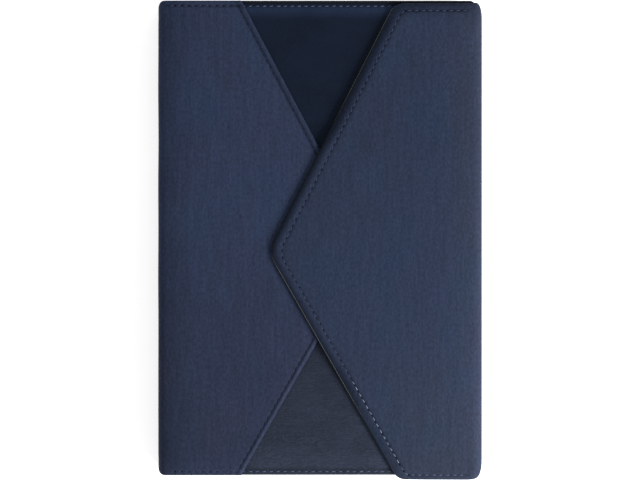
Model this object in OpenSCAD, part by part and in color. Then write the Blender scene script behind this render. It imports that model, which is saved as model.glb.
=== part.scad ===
// Envelope folio for a 7 inch tablet and its wireless keyboard, shown closed and lying flat.
// A spine on the -X side joins the keyboard base to a tablet sleeve, as in a book.
// The sleeve is open on the +X side, and a pointed flap folds over that mouth.
// X runs from the spine to the mouth, Y along the spine, Z up from the table.

/* [Tablet] */
// Length of the tablet that the sleeve holds
tablet_l = 194; // [190:1:200]
// Width of the tablet that the sleeve holds
tablet_w = 130; // [128:1:134]
// Thickness of the tablet that the sleeve holds
tablet_t = 10; // [9:0.5:12]

/* [Fabric and board] */
// Thickness of the outer fabric
cover_t = 0.9; // [0.7:0.1:1]
// Thickness of the stiffener in the base
board_t = 1.5; // [1.5:0.1:1.8]
// Thickness of the thin stiffeners in the sleeve, spine and wall
thin_board_t = 1.2; // [1:0.1:1.3]
// Thickness of the lining
lining_t = 0.6; // [0.5:0.1:0.6]

/* [Envelope] */
// X of the pocket's top and bottom corners
pocket_corner_x = -34; // [-40:0.2:-30]
// X of the pocket's tip before it is rounded
pocket_tip_x = 22.2; // [18:0.2:24]
// Y of the pocket's tip
pocket_tip_y = -4; // [-6:0.2:0]
// X of the flap's top corner before it is rounded
flap_top_x = 32.4; // [28:0.2:36]
// X of the flap's bottom corner before it is rounded
flap_bottom_x = 33.4; // [28:0.2:36]
// X of the flap's tip before it is rounded
flap_tip_x = -22.4; // [-28:0.2:-18]
// Y of the flap's tip
flap_tip_y = -6.2; // [-7:0.2:0]
// How far the flap hangs towards -Y
flap_drop = 1.5; // [0:0.1:1.6]
// Radius of the flap's tip
flap_tip_r = 12; // [8:1:20]

/* [Keyboard] */
// Height of the keyboard's case
keyboard_h = 6; // [5.8:0.1:6.4]
// Distance between key centres along a row
key_pitch = 15.6; // [15:0.1:15.7]
// Distance between rows
row_pitch = 15.2; // [14.8:0.1:15.2]
// Gap between neighbouring keys
key_gap = 2.8; // [2.4:0.1:3]
// How far a key stands out of the deck
key_proud = 0.9; // [0.6:0.1:1]
// Travel of a key
key_travel = 1.2; // [0.8:0.1:1.2]

/* [Hidden] */

// Colours
navy = [0.16, 0.20, 0.31];
navy_leather = [0.13, 0.16, 0.22];
lining_grey = [0.12, 0.13, 0.17];
card = [0.55, 0.50, 0.42];
case_black = [0.09, 0.09, 0.10];
key_black = [0.05, 0.05, 0.06];
metal = [0.72, 0.73, 0.75];
rubber_grey = [0.20, 0.20, 0.21];

// Clearances
slack = 0.2;          // between pieces that only lie against each other
key_clear = 0.25;     // round a key in its hole
crease = 0.3;         // between two panels at a fold
eps = 0.01;           // how far a cut runs past a face

// The sleeve's inside, which is the tablet and its play
bay_l = tablet_l + 1.6;
bay_w = tablet_w + 1.8;
bay_h = tablet_t + 0.4;
end_gusset_t = 3;     // padded walls at the two ends
side_gusset_t = 1.6;  // wall along the spine
seam_overhang = 1.7;  // panels stand past the end walls
half_l = bay_l / 2 + end_gusset_t + seam_overhang;
half_w = (bay_w + side_gusset_t + 0.6) / 2;
side_t = 3;           // thickness of the folded spine and mouth wall
base_x1 = half_w + 2.5;

// Heights, from the table up
base_h = cover_t + board_t + lining_t;
tape_t = 0.3;
case_z = base_h + tape_t;
floor_t = 0.8;
floor_z = case_z + floor_t;
deck_z = case_z + keyboard_h;
deck_t = 1.2;
deck_under = deck_z - deck_t;
foot_z = floor_z + 0.05; // what hangs from the deck stops here
rail_z = deck_z + 1.1;
bumper_z = deck_z + 1.4;
sleeve_z = deck_z + 1.6;
back_lining_t = 0.5;
back_board_z = sleeve_z + back_lining_t;
bay_floor_z = back_board_z + thin_board_t;
bay_lining_t = 0.4;
bay_z = bay_floor_z + bay_lining_t;
front_board_z = bay_z + bay_h;
front_cover_z = front_board_z + thin_board_t;
front_cover_t = 0.8;
front_z = front_cover_z + front_cover_t;
pocket_gap = 0.3;
pocket_lining_t = 0.4;
pocket_z = front_z + pocket_gap;
pocket_t = 1.2;
pocket_top = pocket_z + pocket_lining_t + pocket_t;
catch_t = 0.5;
flap_z = pocket_top + 0.4;
flap_lining_t = 0.4;
flap_board_t = 0.8;
flap_cover_z = flap_z + flap_lining_t;
flap_top = flap_cover_z + flap_board_t + cover_t;

// Fold lines, each an axis along Y through these X and Z
lower_fold = [-half_w, base_h];
upper_fold = [-half_w, flap_top - base_h];
mouth_fold = [half_w + 0.6, bay_z + crease];
flap_fold = [half_w + 0.6, flap_z];

// Keyboard outline
board_x0 = -half_w + 2.5;
board_x1 = half_w - 1.5;
board_y = 98;
board_r = 4;
shell_t = 1.5;

// Groove that the tablet stands in
groove_x0 = -58.4;    // rear of the groove's floor
groove_top_x0 = -60.8; // rear of the groove's mouth, so that the tablet leans back
groove_x1 = -48;
groove_wall_t = 1.2;
groove_floor_t = 0.5;
rail_w = 2.4;

// Key field: the rows run along Y, and the first row is the one next to the groove
columns = 12;
field_x0 = -42.5;
field_y0 = -columns * key_pitch / 2;
flange_w = 0.7;
flange_t = 0.6;

// Touchpad and click buttons, as [x0, x1, y0, y1]
pad_area = [37, 54, -28, 28];
left_button_area = [55.4, 61.6, -28, -0.6];
right_button_area = [55.4, 61.6, 0.6, 28];
flat_flange_w = 1.2;

// Power switch and socket, in the case's +Y end
socket_x = [44, 51.6];
socket_z = [5.95, 7.9];
switch_slot_x = [55.5, 60.5];
switch_z = [5.6, 6.9];
switch_w = 2.4;

screw_places = [[39.5, -92.8], [61, -92.8], [39.5, 92.8], [61, 92.8]];
magnet_y = 60;
magnet_size = [6, 24];
magnet_x = 57;

// Each row is a list of [first column, width in columns, name]
key_rows = [
    [[0, 1, "escape_key"], [11, 1, "backspace_key"]],
    [[0, 1, "tab_key"]],
    [[0, 1.25, "caps_lock_key"], [10.25, 1.75, "enter_key"]],
    [[0, 1.75, "left_shift_key"], [10.75, 1.25, "right_shift_key"]],
    [[0, 1, "function_key"], [1, 1, "control_key"], [2, 1, "alt_key"],
     [3, 4, "space_bar"], [7, 1, "menu_key"], [8, 1, "left_arrow_key"],
     [9, 1, "up_arrow_key"], [10, 1, "down_arrow_key"], [11, 1, "right_arrow_key"]]
];
// The plain keys of a row: [row, first column, count]
number_row = [0, 1, 10];
top_row = [1, 1, 11];
home_row = [2, 1.25, 9];
bottom_row = [3, 1.75, 9];
plain_rows = [number_row, top_row, home_row, bottom_row];

// ---------- shapes ----------

function unit(v) = v / norm(v);

// Points of a round of radius r at corner b, between a and c
function fillet(a, b, c, r, n = 10) =
    let (
        u = unit(a - b),
        v = unit(c - b),
        half = acos(u * v) / 2,
        centre = b + unit(u + v) * r / sin(half),
        from = b + u * r / tan(half) - centre,
        to = b + v * r / tan(half) - centre,
        start = atan2(from.y, from.x),
        turn = (atan2(to.y, to.x) - start + 540) % 360 - 180
    )
    [for (i = [0:n]) centre + r * [cos(start + turn * i / n), sin(start + turn * i / n)]];

// An outline with each corner rounded to its own radius
function rounded(points, radii) =
    let (count = len(points))
    [for (i = [0:count - 1])
        each radii[i] > 0
            ? fillet(points[(i + count - 1) % count], points[i], points[(i + 1) % count], radii[i])
            : [points[i]]];

// Block from one corner to the other
module block(low, high) {
    translate(low) cube(high - low);
}

// Flat plate with round corners of radius r
module plate(x0, x1, y0, y1, z0, z1, r) {
    translate([0, 0, z0])
        linear_extrude(z1 - z0)
            polygon(rounded([[x0, y0], [x1, y0], [x1, y1], [x0, y1]], [r, r, r, r]));
}

// Solid with this outline in X and Z, running along Y
module along_y(outline, y0, y1) {
    translate([0, y1, 0])
        rotate([90, 0, 0])
            linear_extrude(y1 - y0)
                polygon(outline);
}

// The pocket's outline: a wide panel that comes to a blunt point
module pocket_outline(inset) {
    polygon(rounded(
        [[-half_w, -half_l + inset], [pocket_corner_x - inset * 0.6, -half_l + inset],
         [pocket_tip_x - inset * 1.2, pocket_tip_y],
         [pocket_corner_x - inset * 0.6, half_l - inset], [-half_w, half_l - inset]],
        [0, 0.5, 15, 0.5, 0]));
}

// The flap's outline, from the mouth fold to its rounded tip
module flap_outline(inset) {
    edge_x = flap_fold.x - slack;
    top_y = half_l - flap_drop + 0.3 - inset;
    bottom_y = -half_l - flap_drop - 0.3 + inset;
    polygon(rounded(
        [[edge_x - inset / 3, top_y], [flap_top_x + inset * 0.6, top_y],
         [flap_tip_x + inset * 1.2, flap_tip_y],
         [flap_bottom_x + inset * 0.6, bottom_y], [edge_x - inset / 3, bottom_y]],
        [2, 6, flap_tip_r - inset, 6, 2]));
}

// Places of the closing magnets
module at_magnets() {
    for (side = [-1, 1]) translate([magnet_x, side * magnet_y, 0]) children();
}

module magnet_bar(z0, z1, grow = 0) {
    block([-magnet_size.x / 2 - grow, -magnet_size.y / 2 - grow, z0],
          [magnet_size.x / 2 + grow, magnet_size.y / 2 + grow, z1]);
}

// ---------- keyboard base ----------

module base_cover() {
    color(navy) plate(-half_w + slack, base_x1, -half_l, half_l, 0, cover_t, 3);
}

module base_board() {
    color(card) difference() {
        plate(-half_w + 0.6, base_x1 - 1.5, -half_l + 1.5, half_l - 1.5,
              cover_t, cover_t + board_t, 3);
        at_magnets() magnet_bar(cover_t - eps, cover_t + board_t + eps, 0.1);
    }
}

module base_lining() {
    color(lining_grey)
        plate(-half_w + slack, base_x1, -half_l, half_l, cover_t + board_t, base_h, 3);
}

module base_magnets() {
    color(metal) at_magnets() magnet_bar(cover_t, cover_t + board_t);
}

module mounting_tape() {
    color("whitesmoke") for (x = [-50, -4, 42])
        block([x, -85, base_h], [x + 12, 85, case_z]);
}

module keyboard_bottom_case() {
    color(case_black) difference() {
        plate(board_x0, board_x1, -board_y, board_y, case_z, deck_under, board_r);
        plate(board_x0 + shell_t, board_x1 - shell_t, -board_y + shell_t, board_y - shell_t,
              floor_z, deck_under + 1, board_r - shell_t);
        // the groove runs out through both ends
        block([groove_top_x0 - 1, -board_y - 1, floor_z],
              [groove_x1 + groove_wall_t + 0.1, board_y + 1, deck_under + 1]);
        for (p = screw_places) translate([p.x, p.y, case_z - 1]) {
            cylinder(d = 1.8, h = 3, $fn = 32);
            cylinder(d = 3.2, h = 1.4, $fn = 32);
        }
        block([socket_x[0] - slack, board_y - 3, socket_z[0] - slack],
              [socket_x[1] + slack, board_y + 1, deck_under + 1]);
        block([switch_slot_x[0], board_y - 3, switch_z[0]],
              [switch_slot_x[1], board_y + 1, switch_z[1]]);
    }
}

// Floor and sides of the groove, each side with a rail that stands above the deck
module groove_sides() {
    along_y([[groove_top_x0 - rail_w, deck_under], [groove_top_x0 - rail_w, rail_z - 0.5],
             [groove_top_x0 - rail_w + 0.5, rail_z], [groove_top_x0, rail_z],
             [groove_x0, foot_z], [groove_x0 - groove_wall_t, foot_z],
             [groove_top_x0 - 0.5, deck_under]],
            -board_y, board_y);
    along_y([[groove_x1, foot_z], [groove_x1 + groove_wall_t, foot_z],
             [groove_x1 + groove_wall_t, deck_under], [groove_x1 + rail_w + 0.7, deck_under],
             [groove_x1 + rail_w + 0.7, deck_z], [groove_x1 + rail_w, rail_z],
             [groove_x1, rail_z]],
            -board_y, board_y);
    block([groove_x0 - groove_wall_t, -board_y, foot_z],
          [groove_x1 + groove_wall_t, board_y, foot_z + groove_floor_t]);
}

module screw_bosses() {
    for (p = screw_places) translate([p.x, p.y, foot_z])
        cylinder(d = 4, h = deck_under - floor_z, $fn = 40);
}

module keyboard_deck() {
    color(case_black) difference() {
        union() {
            difference() {
                plate(board_x0, board_x1, -board_y, board_y, deck_under, deck_z, board_r);
                block([groove_top_x0 - 1, -board_y - 1, deck_under - 1],
                      [groove_x1 + 1, board_y + 1, deck_z + 1]);
            }
            groove_sides();
            screw_bosses();
        }
        for (p = screw_places) translate([p.x, p.y, floor_z - 1])
            cylinder(d = 1.6, h = 4.2, $fn = 32);
        for (row = [0:len(key_rows) - 1], k = key_rows[row])
            key_hole(row, k[0], k[1]);
        for (r = plain_rows, i = [0:r[2] - 1])
            key_hole(r[0], r[1] + i, 1);
        for (a = [pad_area, left_button_area, right_button_area])
            block([a[0] - key_clear, a[2] - key_clear, deck_under - 1],
                  [a[1] + key_clear, a[3] + key_clear, deck_z + 1]);
        at_lights() translate([0, 0, deck_under - 1]) cylinder(d = 2.2, h = 3, $fn = 32);
    }
}

module groove_pad() {
    pad_z = foot_z + groove_floor_t;
    color(rubber_grey)
        block([groove_x0 + 0.5, -board_y + 1, pad_z], [groove_x1 - 0.5, board_y - 1, pad_z + 0.5]);
}

module bumper_pads() {
    color(rubber_grey) for (x = [36, board_x1 - 6], y = [-94.5, 94.5])
        translate([x, y, deck_z]) cylinder(d = 5, h = bumper_z - deck_z, $fn = 40);
}

module case_screws() {
    color(metal) for (p = screw_places) translate([p.x, p.y, case_z]) difference() {
        union() {
            translate([0, 0, 0.05]) cylinder(d = 2.9, h = 0.3, $fn = 32);
            translate([0, 0, 0.05]) cylinder(d = 1.5, h = 3.6, $fn = 32);
        }
        for (turn = [0, 90]) rotate(turn)
            translate([-0.8, -0.15, -0.1]) cube([1.6, 0.3, 0.3]);
    }
}

module key_support_plate() {
    color(metal) block([field_x0 - 1.5, -95, floor_z + 0.05], [35, 95, floor_z + 0.55]);
}

module key_membrane() {
    color([0.75, 0.85, 0.80, 0.9])
        block([field_x0 - 1, -94.5, floor_z + 0.6], [34.5, 94.5, floor_z + 0.85]);
}

// One dome under every key, drawn as low as a pressed key squeezes it
module rubber_domes() {
    dome_z = floor_z + 0.9;
    dome_h = 0.95;
    color("silver") for (row = [0:len(key_rows) - 1]) {
        for (k = key_rows[row]) dome(row, k[0] + k[1] / 2, dome_z, dome_h);
        for (r = plain_rows, i = [0:r[2] - 1])
            if (r[0] == row) dome(row, r[1] + i + 0.5, dome_z, dome_h);
    }
}

module dome(row, column, z, h) {
    translate([field_x0 + (row + 0.5) * row_pitch, field_y0 + column * key_pitch, z])
        cylinder(d1 = 5.6, d2 = 3.6, h = h, $fn = 24);
}

module circuit_board() {
    board_z = socket_z[0] - 1.05;
    color("darkgreen") {
        block([43, -28, board_z], [58, 95, board_z + 1]);
        block([57, -28, board_z], [61.5, 28, board_z + 1]);
    }
    // switches under the click buttons
    color(metal) for (y = [-14, 14]) translate([58.5, y, board_z + 1.01])
        cylinder(d = 3, h = 0.8, $fn = 32);
    color("black") block([46, 42, board_z + 1.01], [53, 49, board_z + 2]);
    color(metal) block([45, 54, board_z + 1.01], [55, 68, board_z + 2.4]);
    color("black") block([48, 74, board_z + 1.01], [52, 80, board_z + 1.8]);
}

module battery() {
    color("dimgray") plate(38.5, 60.5, -86, -34, floor_z + 0.1, floor_z + 3.1, 1.5);
    color("gold") block([46, -33.9, floor_z + 1], [52, -32.6, floor_z + 2]);
}

module usb_socket() {
    color(metal) difference() {
        block([socket_x[0], 91.8, socket_z[0]], [socket_x[1], 97.7, socket_z[1]]);
        block([socket_x[0] + 0.3, 92.6, socket_z[0] + 0.3],
              [socket_x[1] - 0.3, 98.5, socket_z[1] - 0.3]);
    }
    color("black") block([socket_x[0] + 1.4, 92.7, socket_z[0] + 0.8],
                         [socket_x[1] - 1.4, 97.2, socket_z[1] - 0.7]);
}

// The knob stands out of the slot, and its foot is wider than the slot
module power_switch() {
    knob_x = switch_slot_x[0] + 0.1;
    color(rubber_grey) {
        block([knob_x, board_y - shell_t - 0.3, switch_z[0] + 0.15],
              [knob_x + switch_w, board_y + 0.8, switch_z[1] - 0.15]);
        block([knob_x - 0.3, board_y - shell_t - 1.3, switch_z[0] - 0.4],
              [knob_x + switch_w + 0.3, board_y - shell_t - 0.3, switch_z[1] + 0.4]);
    }
}

module at_lights() {
    for (y = [82, 88]) translate([60.5, y, 0]) children();
}

module status_light_lens() {
    color("lightblue") at_lights() translate([0, 0, deck_under])
        cylinder(d = 2, h = deck_t + 0.05, $fn = 32);
}

// Low plate or button in a deck opening, with a flange under the deck
module flat_key(area, top_z) {
    block([area[0], area[2], deck_under - flange_t], [area[1], area[3], top_z]);
    block([area[0] - flat_flange_w, area[2] - flange_w, deck_under - flange_t],
          [area[1] + flat_flange_w, area[3] + flange_w, deck_under - 0.1]);
}

module touchpad() {
    color([0.12, 0.12, 0.13]) difference() {
        flat_key(pad_area, deck_z - 0.15);
        block([pad_area[1] + 0.3, -40, 0], [pad_area[1] + 5, 40, deck_z]);
    }
}

module click_button(area) {
    color(key_black) difference() {
        flat_key(area, deck_z + 0.3);
        // no flange towards the touchpad or the other button
        block([area[0] - 5, -40, 0], [area[0] - 0.3, 40, deck_z]);
        block([0, -0.4, 0], [80, 0.4, deck_z]);
    }
}

// ---------- keys ----------

// Runs its children at the corner of a key's cell, with the key's size as $cap
module at_key(row, column, width) {
    $cap = [row_pitch - key_gap, width * key_pitch - key_gap];
    translate([field_x0 + row * row_pitch + key_gap / 2,
               field_y0 + column * key_pitch + key_gap / 2, 0])
        children();
}

module key_hole(row, column, width) {
    at_key(row, column, width)
        block([-key_clear, -key_clear, deck_under - 1],
              [$cap.x + key_clear, $cap.y + key_clear, deck_z + 1]);
}

module key_cap(row, column, width) {
    color(key_black) at_key(row, column, width) {
        block([0, 0, deck_under - 0.1], [$cap.x, $cap.y, deck_z + key_proud]);
        block([-flange_w, -flange_w, deck_under - flange_t],
              [$cap.x + flange_w, $cap.y + flange_w, deck_under - 0.1]);
    }
}

module plain_keys(r) {
    for (i = [0:r[2] - 1]) key_cap(r[0], r[1] + i, 1);
}

// The key of that name, or nothing
module named_key(name) {
    for (row = [0:len(key_rows) - 1], k = key_rows[row])
        if (k[2] == name) key_cap(row, k[0], k[1]);
}

// ---------- spine ----------

module spine_panel(x0, x1, y_inset = 0, foot = 0, head = 0) {
    block([x0, -half_l + y_inset, lower_fold.y + crease + foot],
          [x1, half_l - y_inset, upper_fold.y - crease - head]);
}

module spine_cover() {
    color(navy) spine_panel(-half_w - side_t, -half_w - side_t + cover_t);
}

module spine_board() {
    x0 = -half_w - side_t + cover_t;
    // it stops short of the upper fold, where the fabric rolls over
    color(card) spine_panel(x0, x0 + thin_board_t, 4, 1.5, 3.5);
}

module spine_lining() {
    color(lining_grey) spine_panel(-half_w - side_t + cover_t + thin_board_t, -half_w - 0.3);
}

// ---------- tablet sleeve ----------

module sleeve_back_lining() {
    color(lining_grey)
        plate(-half_w + slack, half_w + 0.3, -half_l, half_l, sleeve_z, back_board_z, 2);
}

module sleeve_back_board() {
    color(card) difference() {
        plate(-half_w + 0.6, half_w - 0.4, -half_l + 1.2, half_l - 1.2,
              back_board_z, bay_floor_z, 2);
        at_magnets() magnet_bar(back_board_z - eps, bay_floor_z + eps, 0.1);
    }
}

module sleeve_magnets() {
    color(metal) at_magnets() magnet_bar(back_board_z, bay_floor_z);
}

module bay_lining() {
    color(lining_grey)
        block([-half_w + side_gusset_t, -bay_l / 2, bay_floor_z], [half_w - slack, bay_l / 2, bay_z]);
}

// One strip round the spine side and both ends
module sleeve_gusset() {
    color(navy) difference() {
        plate(-half_w, half_w, -bay_l / 2 - end_gusset_t, bay_l / 2 + end_gusset_t,
              bay_floor_z, front_board_z, 1.5);
        block([-half_w + side_gusset_t, -bay_l / 2, bay_floor_z - 1],
              [half_w + 1, bay_l / 2, front_board_z + 1]);
    }
}

module sleeve_front_board() {
    color(card) plate(-half_w + 0.6, half_w - 0.4, -half_l + 1.2, half_l - 1.2,
                      front_board_z, front_cover_z, 2);
}

module sleeve_front_cover() {
    color(navy_leather)
        plate(-half_w, half_w + 0.3, -half_l, half_l, front_cover_z, front_z, 2);
}

module pocket_lining() {
    color(lining_grey) translate([0, 0, pocket_z]) linear_extrude(pocket_lining_t)
        pocket_outline(0.4);
}

module pocket_panel() {
    color(navy) difference() {
        translate([0, 0, pocket_z + pocket_lining_t]) linear_extrude(pocket_t) pocket_outline(0);
        at_catch() block([-13, -7, -1], [13, 7, catch_t]);
    }
}

// The catch plate lies under the flap's tip
module at_catch() {
    translate([-4, flap_tip_y, pocket_z + pocket_lining_t]) children();
}

module catch_plate() {
    color(metal) at_catch() block([-12.8, -6.8, 0], [12.8, 6.8, catch_t]);
}

// ---------- mouth wall and flap ----------

module mouth_panel(x0, x1, y_inset = 0, foot = 0, head = 0) {
    block([x0, -half_l - flap_drop / 2 + y_inset, mouth_fold.y + crease + foot],
          [x1, half_l - flap_drop / 2 - y_inset, flap_fold.y - crease - head]);
}

module mouth_wall_board() {
    color(card) mouth_panel(mouth_fold.x + 0.3, mouth_fold.x + 1.5, 4, 1, 2);
}

module mouth_wall_cover() {
    color(navy) mouth_panel(mouth_fold.x + 1.5, mouth_fold.x + 2.4);
}

module flap_lining() {
    color(navy_leather) translate([0, 0, flap_z]) linear_extrude(flap_lining_t) flap_outline(0.2);
}

module flap_board() {
    color(card) difference() {
        translate([0, 0, flap_cover_z]) linear_extrude(flap_board_t) flap_outline(5.5);
        at_flap_magnet() block([-10.1, -5.1, -1], [10.1, 5.1, 2]);
    }
}

module flap_cover() {
    color(navy) difference() {
        translate([0, 0, flap_cover_z]) linear_extrude(flap_board_t + cover_t) flap_outline(0);
        translate([0, 0, flap_cover_z - eps]) linear_extrude(flap_board_t + eps) flap_outline(5.4);
    }
}

module at_flap_magnet() {
    translate([2, flap_tip_y, flap_cover_z]) children();
}

module flap_magnet() {
    color(metal) at_flap_magnet() block([-10, -5, 0], [10, 5, flap_board_t]);
}

// ---------- the nodes ----------

base_cover();
base_board();
base_lining();
base_magnets();
mounting_tape();
keyboard_bottom_case();
keyboard_deck();
groove_pad();
bumper_pads();
case_screws();
key_support_plate();
key_membrane();
rubber_domes();
circuit_board();
battery();
usb_socket();
power_switch();
status_light_lens();
touchpad();
click_button(left_button_area);  // left_click_button
click_button(right_button_area);  // right_click_button
plain_keys(number_row);  // number_keys
plain_keys(top_row);  // top_letter_keys
plain_keys(home_row);  // home_letter_keys
plain_keys(bottom_row);  // bottom_letter_keys
named_key("escape_key");  // escape_key
named_key("backspace_key");  // backspace_key
named_key("tab_key");  // tab_key
named_key("caps_lock_key");  // caps_lock_key
named_key("enter_key");  // enter_key
named_key("left_shift_key");  // left_shift_key
named_key("right_shift_key");  // right_shift_key
named_key("function_key");  // function_key
named_key("control_key");  // control_key
named_key("alt_key");  // alt_key
named_key("space_bar");  // space_bar
named_key("menu_key");  // menu_key
named_key("left_arrow_key");  // left_arrow_key
named_key("up_arrow_key");  // up_arrow_key
named_key("down_arrow_key");  // down_arrow_key
named_key("right_arrow_key");  // right_arrow_key
spine_cover();
spine_board();
spine_lining();
sleeve_back_lining();
sleeve_back_board();
bay_lining();
sleeve_gusset();
sleeve_front_board();
sleeve_front_cover();
sleeve_magnets();
pocket_lining();
pocket_panel();
catch_plate();
mouth_wall_board();
mouth_wall_cover();
flap_lining();
flap_board();
flap_cover();
flap_magnet();
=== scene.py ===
# Visual model of the tablet keyboard case. Lengths in this file are in millimetres,
# and mesh() turns them into metres.
import math

import bmesh
import bpy
import numpy as np
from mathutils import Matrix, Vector
from mathutils.geometry import delaunay_2d_cdt


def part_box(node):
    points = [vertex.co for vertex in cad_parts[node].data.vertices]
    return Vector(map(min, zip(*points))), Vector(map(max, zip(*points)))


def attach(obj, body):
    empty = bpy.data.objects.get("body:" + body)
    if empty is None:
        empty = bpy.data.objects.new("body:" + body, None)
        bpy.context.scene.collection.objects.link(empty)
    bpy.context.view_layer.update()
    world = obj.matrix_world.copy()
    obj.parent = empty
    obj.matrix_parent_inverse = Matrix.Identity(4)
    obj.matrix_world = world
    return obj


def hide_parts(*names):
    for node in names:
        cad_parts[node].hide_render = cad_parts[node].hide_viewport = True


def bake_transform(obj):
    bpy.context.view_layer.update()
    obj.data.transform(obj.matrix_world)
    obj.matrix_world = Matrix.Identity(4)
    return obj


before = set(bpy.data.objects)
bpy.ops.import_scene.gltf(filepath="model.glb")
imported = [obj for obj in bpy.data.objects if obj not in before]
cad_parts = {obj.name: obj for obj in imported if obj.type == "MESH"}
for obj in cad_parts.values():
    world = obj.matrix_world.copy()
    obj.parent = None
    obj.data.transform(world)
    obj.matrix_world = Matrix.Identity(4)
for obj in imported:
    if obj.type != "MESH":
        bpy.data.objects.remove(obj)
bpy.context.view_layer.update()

MM = 0.001
rng = np.random.default_rng(7)

# ------------------------ sizes, from the CAD

def low(node):
    return np.array(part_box(node)[0]) / MM

def high(node):
    return np.array(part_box(node)[1]) / MM

HALF_L = high("base_cover")[1]
LEFT = low("spine_cover")[0]
RIGHT = high("mouth_wall_cover")[0]
HALF_W = -low("sleeve_front_cover")[0]
BASE_X1 = high("base_cover")[0]
BASE_T = high("base_lining")[2]
BACK_Z = low("sleeve_back_lining")[2]
BAY_Z0 = low("sleeve_gusset")[2]
BAY_Z1 = high("sleeve_gusset")[2]
FRONT_TOP = high("sleeve_front_cover")[2]
POCKET_TOP = high("pocket_panel")[2]
FLAP_TOP = high("flap_cover")[2]
FLAP_Y0 = low("flap_cover")[1]
FLAP_Y1 = high("flap_cover")[1]
WALL_Y0 = low("mouth_wall_cover")[1]
WALL_Y1 = high("mouth_wall_cover")[1]
CORNER_R = 2.2   # of the case, seen from above
STITCH = 3.0     # from one stitch to the next
# Distance of the seams from the edge beside them
TOP_SEW = 2.3    # along the case's upper (+Y) edge
FOOT_SEW = 1.5   # along its lower edge
PANEL_SEW = 2.6  # round the base and the sleeve's back
HEM_SEW = 2.25   # along the pocket's slanted hem
LINING_SEW = 1.6  # round the back lining
# Heights at which two fabric pieces meet, on the spine and on the mouth wall
SPINE_MID = (BASE_T + POCKET_TOP) / 2
WALL_MID = 20.4
GUSSET_STEP = 1.5  # between cross-sections of the gusset and its piping
RAMP_PER_MM = 0.0045  # the case's length spans most of a colour ramp

# ------------------------ plane geometry

def unit(v):
    return v / np.linalg.norm(v)

def rounded(points, radii, n=10):
    """The polygon with each corner rounded to its own radius."""
    pts = [np.array(p, float) for p in points]
    out = []
    for i, (b, r) in enumerate(zip(pts, radii)):
        if r <= 0:
            out.append(b)
            continue
        u, v = unit(pts[i - 1] - b), unit(pts[(i + 1) % len(pts)] - b)
        half = math.acos(np.clip(u @ v, -1, 1)) / 2
        c = b + unit(u + v) * r / math.sin(half)
        p, q = b + u * r / math.tan(half) - c, b + v * r / math.tan(half) - c
        a0 = math.atan2(p[1], p[0])
        turn = (math.atan2(q[1], q[0]) - a0 + math.pi) % (2 * math.pi) - math.pi
        for k in range(n + 1):
            a = a0 + turn * k / n
            out.append(c + r * np.array([math.cos(a), math.sin(a)]))
    return np.array(out)

def tangents(p):
    """Unit direction of an open line at each of its points."""
    t = np.gradient(p, axis=0)
    return t / np.linalg.norm(t, axis=1)[:, None]

def shift(line, d):
    """An open line moved sideways, to the left of its direction."""
    p = np.array(line, float)
    t = tangents(p)
    return p + d * np.stack([-t[:, 1], t[:, 0]], 1)

def rectangle(x0, x1, y0, y1, r):
    return rounded([(x0, y0), (x1, y0), (x1, y1), (x0, y1)], [r] * 4)

def resample(points, step, closed=False):
    """Points at even spacing along a line, which keeps its ends."""
    p = np.array(points, float)
    if closed:
        p = np.vstack([p, p[:1]])
    length = np.concatenate([[0], np.cumsum(np.linalg.norm(np.diff(p, axis=0), axis=1))])
    n = max(2, int(round(length[-1] / step)))
    s = np.linspace(0, length[-1], n + 1)
    out = np.stack([np.interp(s, length, p[:, k]) for k in range(p.shape[1])], 1)
    return out[:-1] if closed else out

def distance(P, line, closed=False):
    """(distance to the line, length along it at the nearest point) of each point."""
    p = np.array(line, float)
    if closed:
        p = np.vstack([p, p[:1]])
    best = np.full(len(P), 1e9)
    along = np.zeros(len(P))
    start = 0.0
    for a, b in zip(p[:-1], p[1:]):
        ab = b - a
        size = np.linalg.norm(ab)
        if size < 1e-9:
            continue
        t = np.clip(((P - a) @ ab) / size**2, 0, 1)
        d = np.hypot(P[:, 0] - a[0] - t * ab[0], P[:, 1] - a[1] - t * ab[1])
        near = d < best
        best[near] = d[near]
        along[near] = start + t[near] * size
        start += size
    return best, along

def inset(points, amounts):
    """The polygon (counter-clockwise) with edge i, from point i to the next, moved in."""
    pts = [np.array(p, float) for p in points]
    n = len(pts)
    out = []
    for i in range(n):
        a, b, c = pts[i - 1], pts[i], pts[(i + 1) % n]
        d1, d2 = unit(b - a), unit(c - b)
        n1, n2 = np.array([-d1[1], d1[0]]), np.array([-d2[1], d2[0]])
        m = np.array([n1, n2])
        rhs = [n1 @ b + amounts[i - 1], n2 @ b + amounts[i]]
        out.append(np.linalg.solve(m, rhs) if abs(np.linalg.det(m)) > 1e-6 else b + n1 * amounts[i])
    return out

def step_up(x, a, b):
    """From 0 at a smoothly to 1 at b."""
    t = np.clip((x - a) / (b - a), 0, 1)
    return t * t * (3 - 2 * t)

def bell(x, centre, width):
    """1 at the centre, falling smoothly to both sides."""
    return np.exp(-(((x - centre) / width) ** 2))

def waves(P, seed, size, stretch=1.0, count=10):
    """Smooth random surface with features of about that size, between about -1 and 1."""
    r = np.random.default_rng(seed)
    total = np.zeros(len(P))
    for _ in range(count):
        a = r.uniform(0, 2 * math.pi)
        k = 2 * math.pi / size * r.uniform(0.5, 1.5)
        total += np.sin(P[:, 0] * k * math.cos(a) / stretch + P[:, 1] * k * math.sin(a)
                        + r.uniform(0, 6.3))
    return total / math.sqrt(count)

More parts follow.
